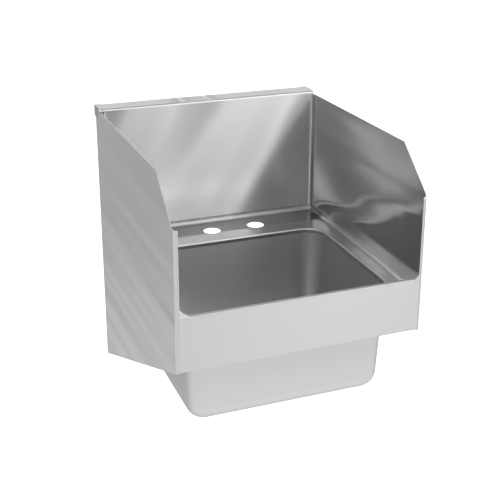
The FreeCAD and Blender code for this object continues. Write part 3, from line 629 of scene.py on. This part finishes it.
# %% Bead round the bowl
BOWL_CORNER = 0.0463
BOWL_BEAD = 0.0013
ARC_STEPS = 8
RING_CORNERS = ((1, 1), (0, 1), (0, 0), (1, 0))
bowl_low, bowl_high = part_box("bowl")
ring = []
for corner, (east, north) in enumerate(RING_CORNERS):
    middle_x = bowl_high.x - BOWL_CORNER if east else bowl_low.x + BOWL_CORNER
    middle_y = bowl_high.y - BOWL_CORNER if north else bowl_low.y + BOWL_CORNER
    for number in range(ARC_STEPS + 1):
        turn = math.pi / 2 * (corner + number / ARC_STEPS)
        ring.append((middle_x + BOWL_CORNER * math.cos(turn),
                     middle_y + BOWL_CORNER * math.sin(turn), bowl_high.z))
bowl_bead = weld_bead("bowl_seam_weld", ring + ring[:1], ALONG_Z, BOWL_BEAD, closed=True)
print("bead round the bowl:", len(bowl_bead.data.vertices), "points")

# %% [markdown]
# ## Threads of the drain
# The nut runs on the cup and the pipe nut on the outlet tube. The solids are plain there, because a
# thread's many faces help nobody who measures or simulates it. A bump would leave the outline
# smooth, so each thread is a ridge with three sides, wound upwards. It sinks into the wall, and its
# first and last turns fade away.

# %% A thread round the drain
THREAD_STEPS = 48
THREAD_SIDES = 3
THREAD_SINK = 0.0003
THREAD_HALF_WIDTH = 0.42
drain_low, drain_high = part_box("drain_body")
DRAIN_X, DRAIN_Y = (drain_low.x + drain_high.x) / 2, (drain_low.y + drain_high.y) / 2


def thread(name, radius, low, high, pitch, depth):
    """A ridge with three sides, wound round a standing tube of the drain."""
    steps = round((high - low) / pitch * THREAD_STEPS)
    points = []
    for number in range(steps + 1):
        turn = 2 * math.pi * number / THREAD_STEPS
        level = low + pitch * number / THREAD_STEPS
        fade = min(1.0, number / THREAD_STEPS, (steps - number) / THREAD_STEPS)
        for reach, drop in ((-THREAD_SINK, -1), (depth * fade, 0), (-THREAD_SINK, 1)):
            across = radius + reach
            points.append((DRAIN_X + across * math.cos(turn), DRAIN_Y + across * math.sin(turn),
                           level + drop * THREAD_HALF_WIDTH * pitch))
    faces = join_rings(steps + 1, THREAD_SIDES, False)
    return add_piece(name, points, faces, polished_steel, "basin")


print("drain axis at", round(DRAIN_X, 4), round(DRAIN_Y, 4))

# %% Wind the threads
CUP_RADIUS = 0.0430
CUP_PITCH, CUP_DEPTH = 0.0020, 0.0006
CUP_FOOT_ROOM, NUT_ROOM = 0.006, 0.0015
OUTLET_PITCH, OUTLET_DEPTH = 0.0018, 0.0005
OUTLET_FOOT_ROOM, OUTLET_NECK_ROOM = 0.0015, 0.004
nut_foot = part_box("drain_locknut")[0].z
tube_low, tube_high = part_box("outlet_tube")
outlet_radius = (tube_high.x - tube_low.x) / 2
thread("cup_thread", CUP_RADIUS, drain_low.z + CUP_FOOT_ROOM, nut_foot - NUT_ROOM,
       CUP_PITCH, CUP_DEPTH)
thread("outlet_thread", outlet_radius, tube_low.z + OUTLET_FOOT_ROOM,
       tube_high.z - OUTLET_NECK_ROOM, OUTLET_PITCH, OUTLET_DEPTH)
print("threads wound on the cup and the outlet")

# %% [markdown]
# ## The knob and the rolled rim
# Fingers lift the basket by its knob, so a real one is turned with a crown and a narrow neck, and
# the edge of the basket is rolled so that it doesn't cut. Both could be built from rings by hand,
# but an outline spun round the drain's axis is shorter. The knob with its stem takes the place of
# the plain post, inside the same box. The roll is added.

# %% Spin an outline
SPIN_STEPS = 64
QUARTER_STEPS = 8


def spun(name, outline, loop, body):
    """An outline of (radius, height) points, spun round the axis of the drain."""
    points = []
    for number in range(SPIN_STEPS):
        turn = 2 * math.pi * number / SPIN_STEPS
        points += [(DRAIN_X + radius * math.cos(turn), DRAIN_Y + radius * math.sin(turn), height)
                   for radius, height in outline]
    faces = join_rings(SPIN_STEPS, len(outline), True, loop)
    return add_piece(name, points, faces, polished_steel, body)


def quarter(middle_r, middle_z, wide, tall, start, count=QUARTER_STEPS):
    """Points on a quarter of an ellipse, from the start angle clockwise."""
    turns = [math.radians(start - 90 * number / count) for number in range(count + 1)]
    return [(middle_r + wide * math.cos(turn), middle_z + tall * math.sin(turn)) for turn in turns]


print("a spin has", SPIN_STEPS, "steps")

# %% The turned knob
KNOB_HEIGHT = 0.007
CROWN = 0.0030
RIM_BAND = 0.0008
NECK, NECK_STEPS = 0.0035, 5
STEM_RADIUS = 0.0030
STEM_BEVEL = 0.0006
post_low, post_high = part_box("basket_post")
knob_radius = (post_high.x - post_low.x) / 2
knob_foot = post_high.z - KNOB_HEIGHT
crown = quarter(0.0, post_high.z - CROWN, knob_radius, CROWN, 90)
crown[0] = (0.0, post_high.z)
under = quarter(
    knob_radius - NECK, post_high.z - CROWN - RIM_BAND, NECK, NECK - RIM_BAND, 0, NECK_STEPS)
stem = [(STEM_RADIUS, knob_foot), (STEM_RADIUS, post_low.z + STEM_BEVEL),
        (STEM_RADIUS - STEM_BEVEL, post_low.z), (0.0, post_low.z)]
knob = spun("turned_knob", crown + under + stem, False, "basket")
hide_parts("basket_post")
print("knob", round(2000 * knob_radius, 1), "mm across, stem to", round(post_low.z, 4))

# %% The rolled rim of the basket
RIM_ROLL = 0.0008
ROLL_SIDES = 8
basket_low, basket_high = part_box("strainer_basket")
rim_radius = (basket_high.x - basket_low.x) / 2 - RIM_ROLL
roll_turns = [2 * math.pi * side / ROLL_SIDES for side in range(ROLL_SIDES)]
roll = [(rim_radius + RIM_ROLL * math.cos(turn),
         basket_high.z - RIM_ROLL + RIM_ROLL * math.sin(turn)) for turn in roll_turns]
spun("basket_rim_roll", roll, True, "basket")
print("rim rolled at radius", round(1000 * rim_radius, 1), "mm")
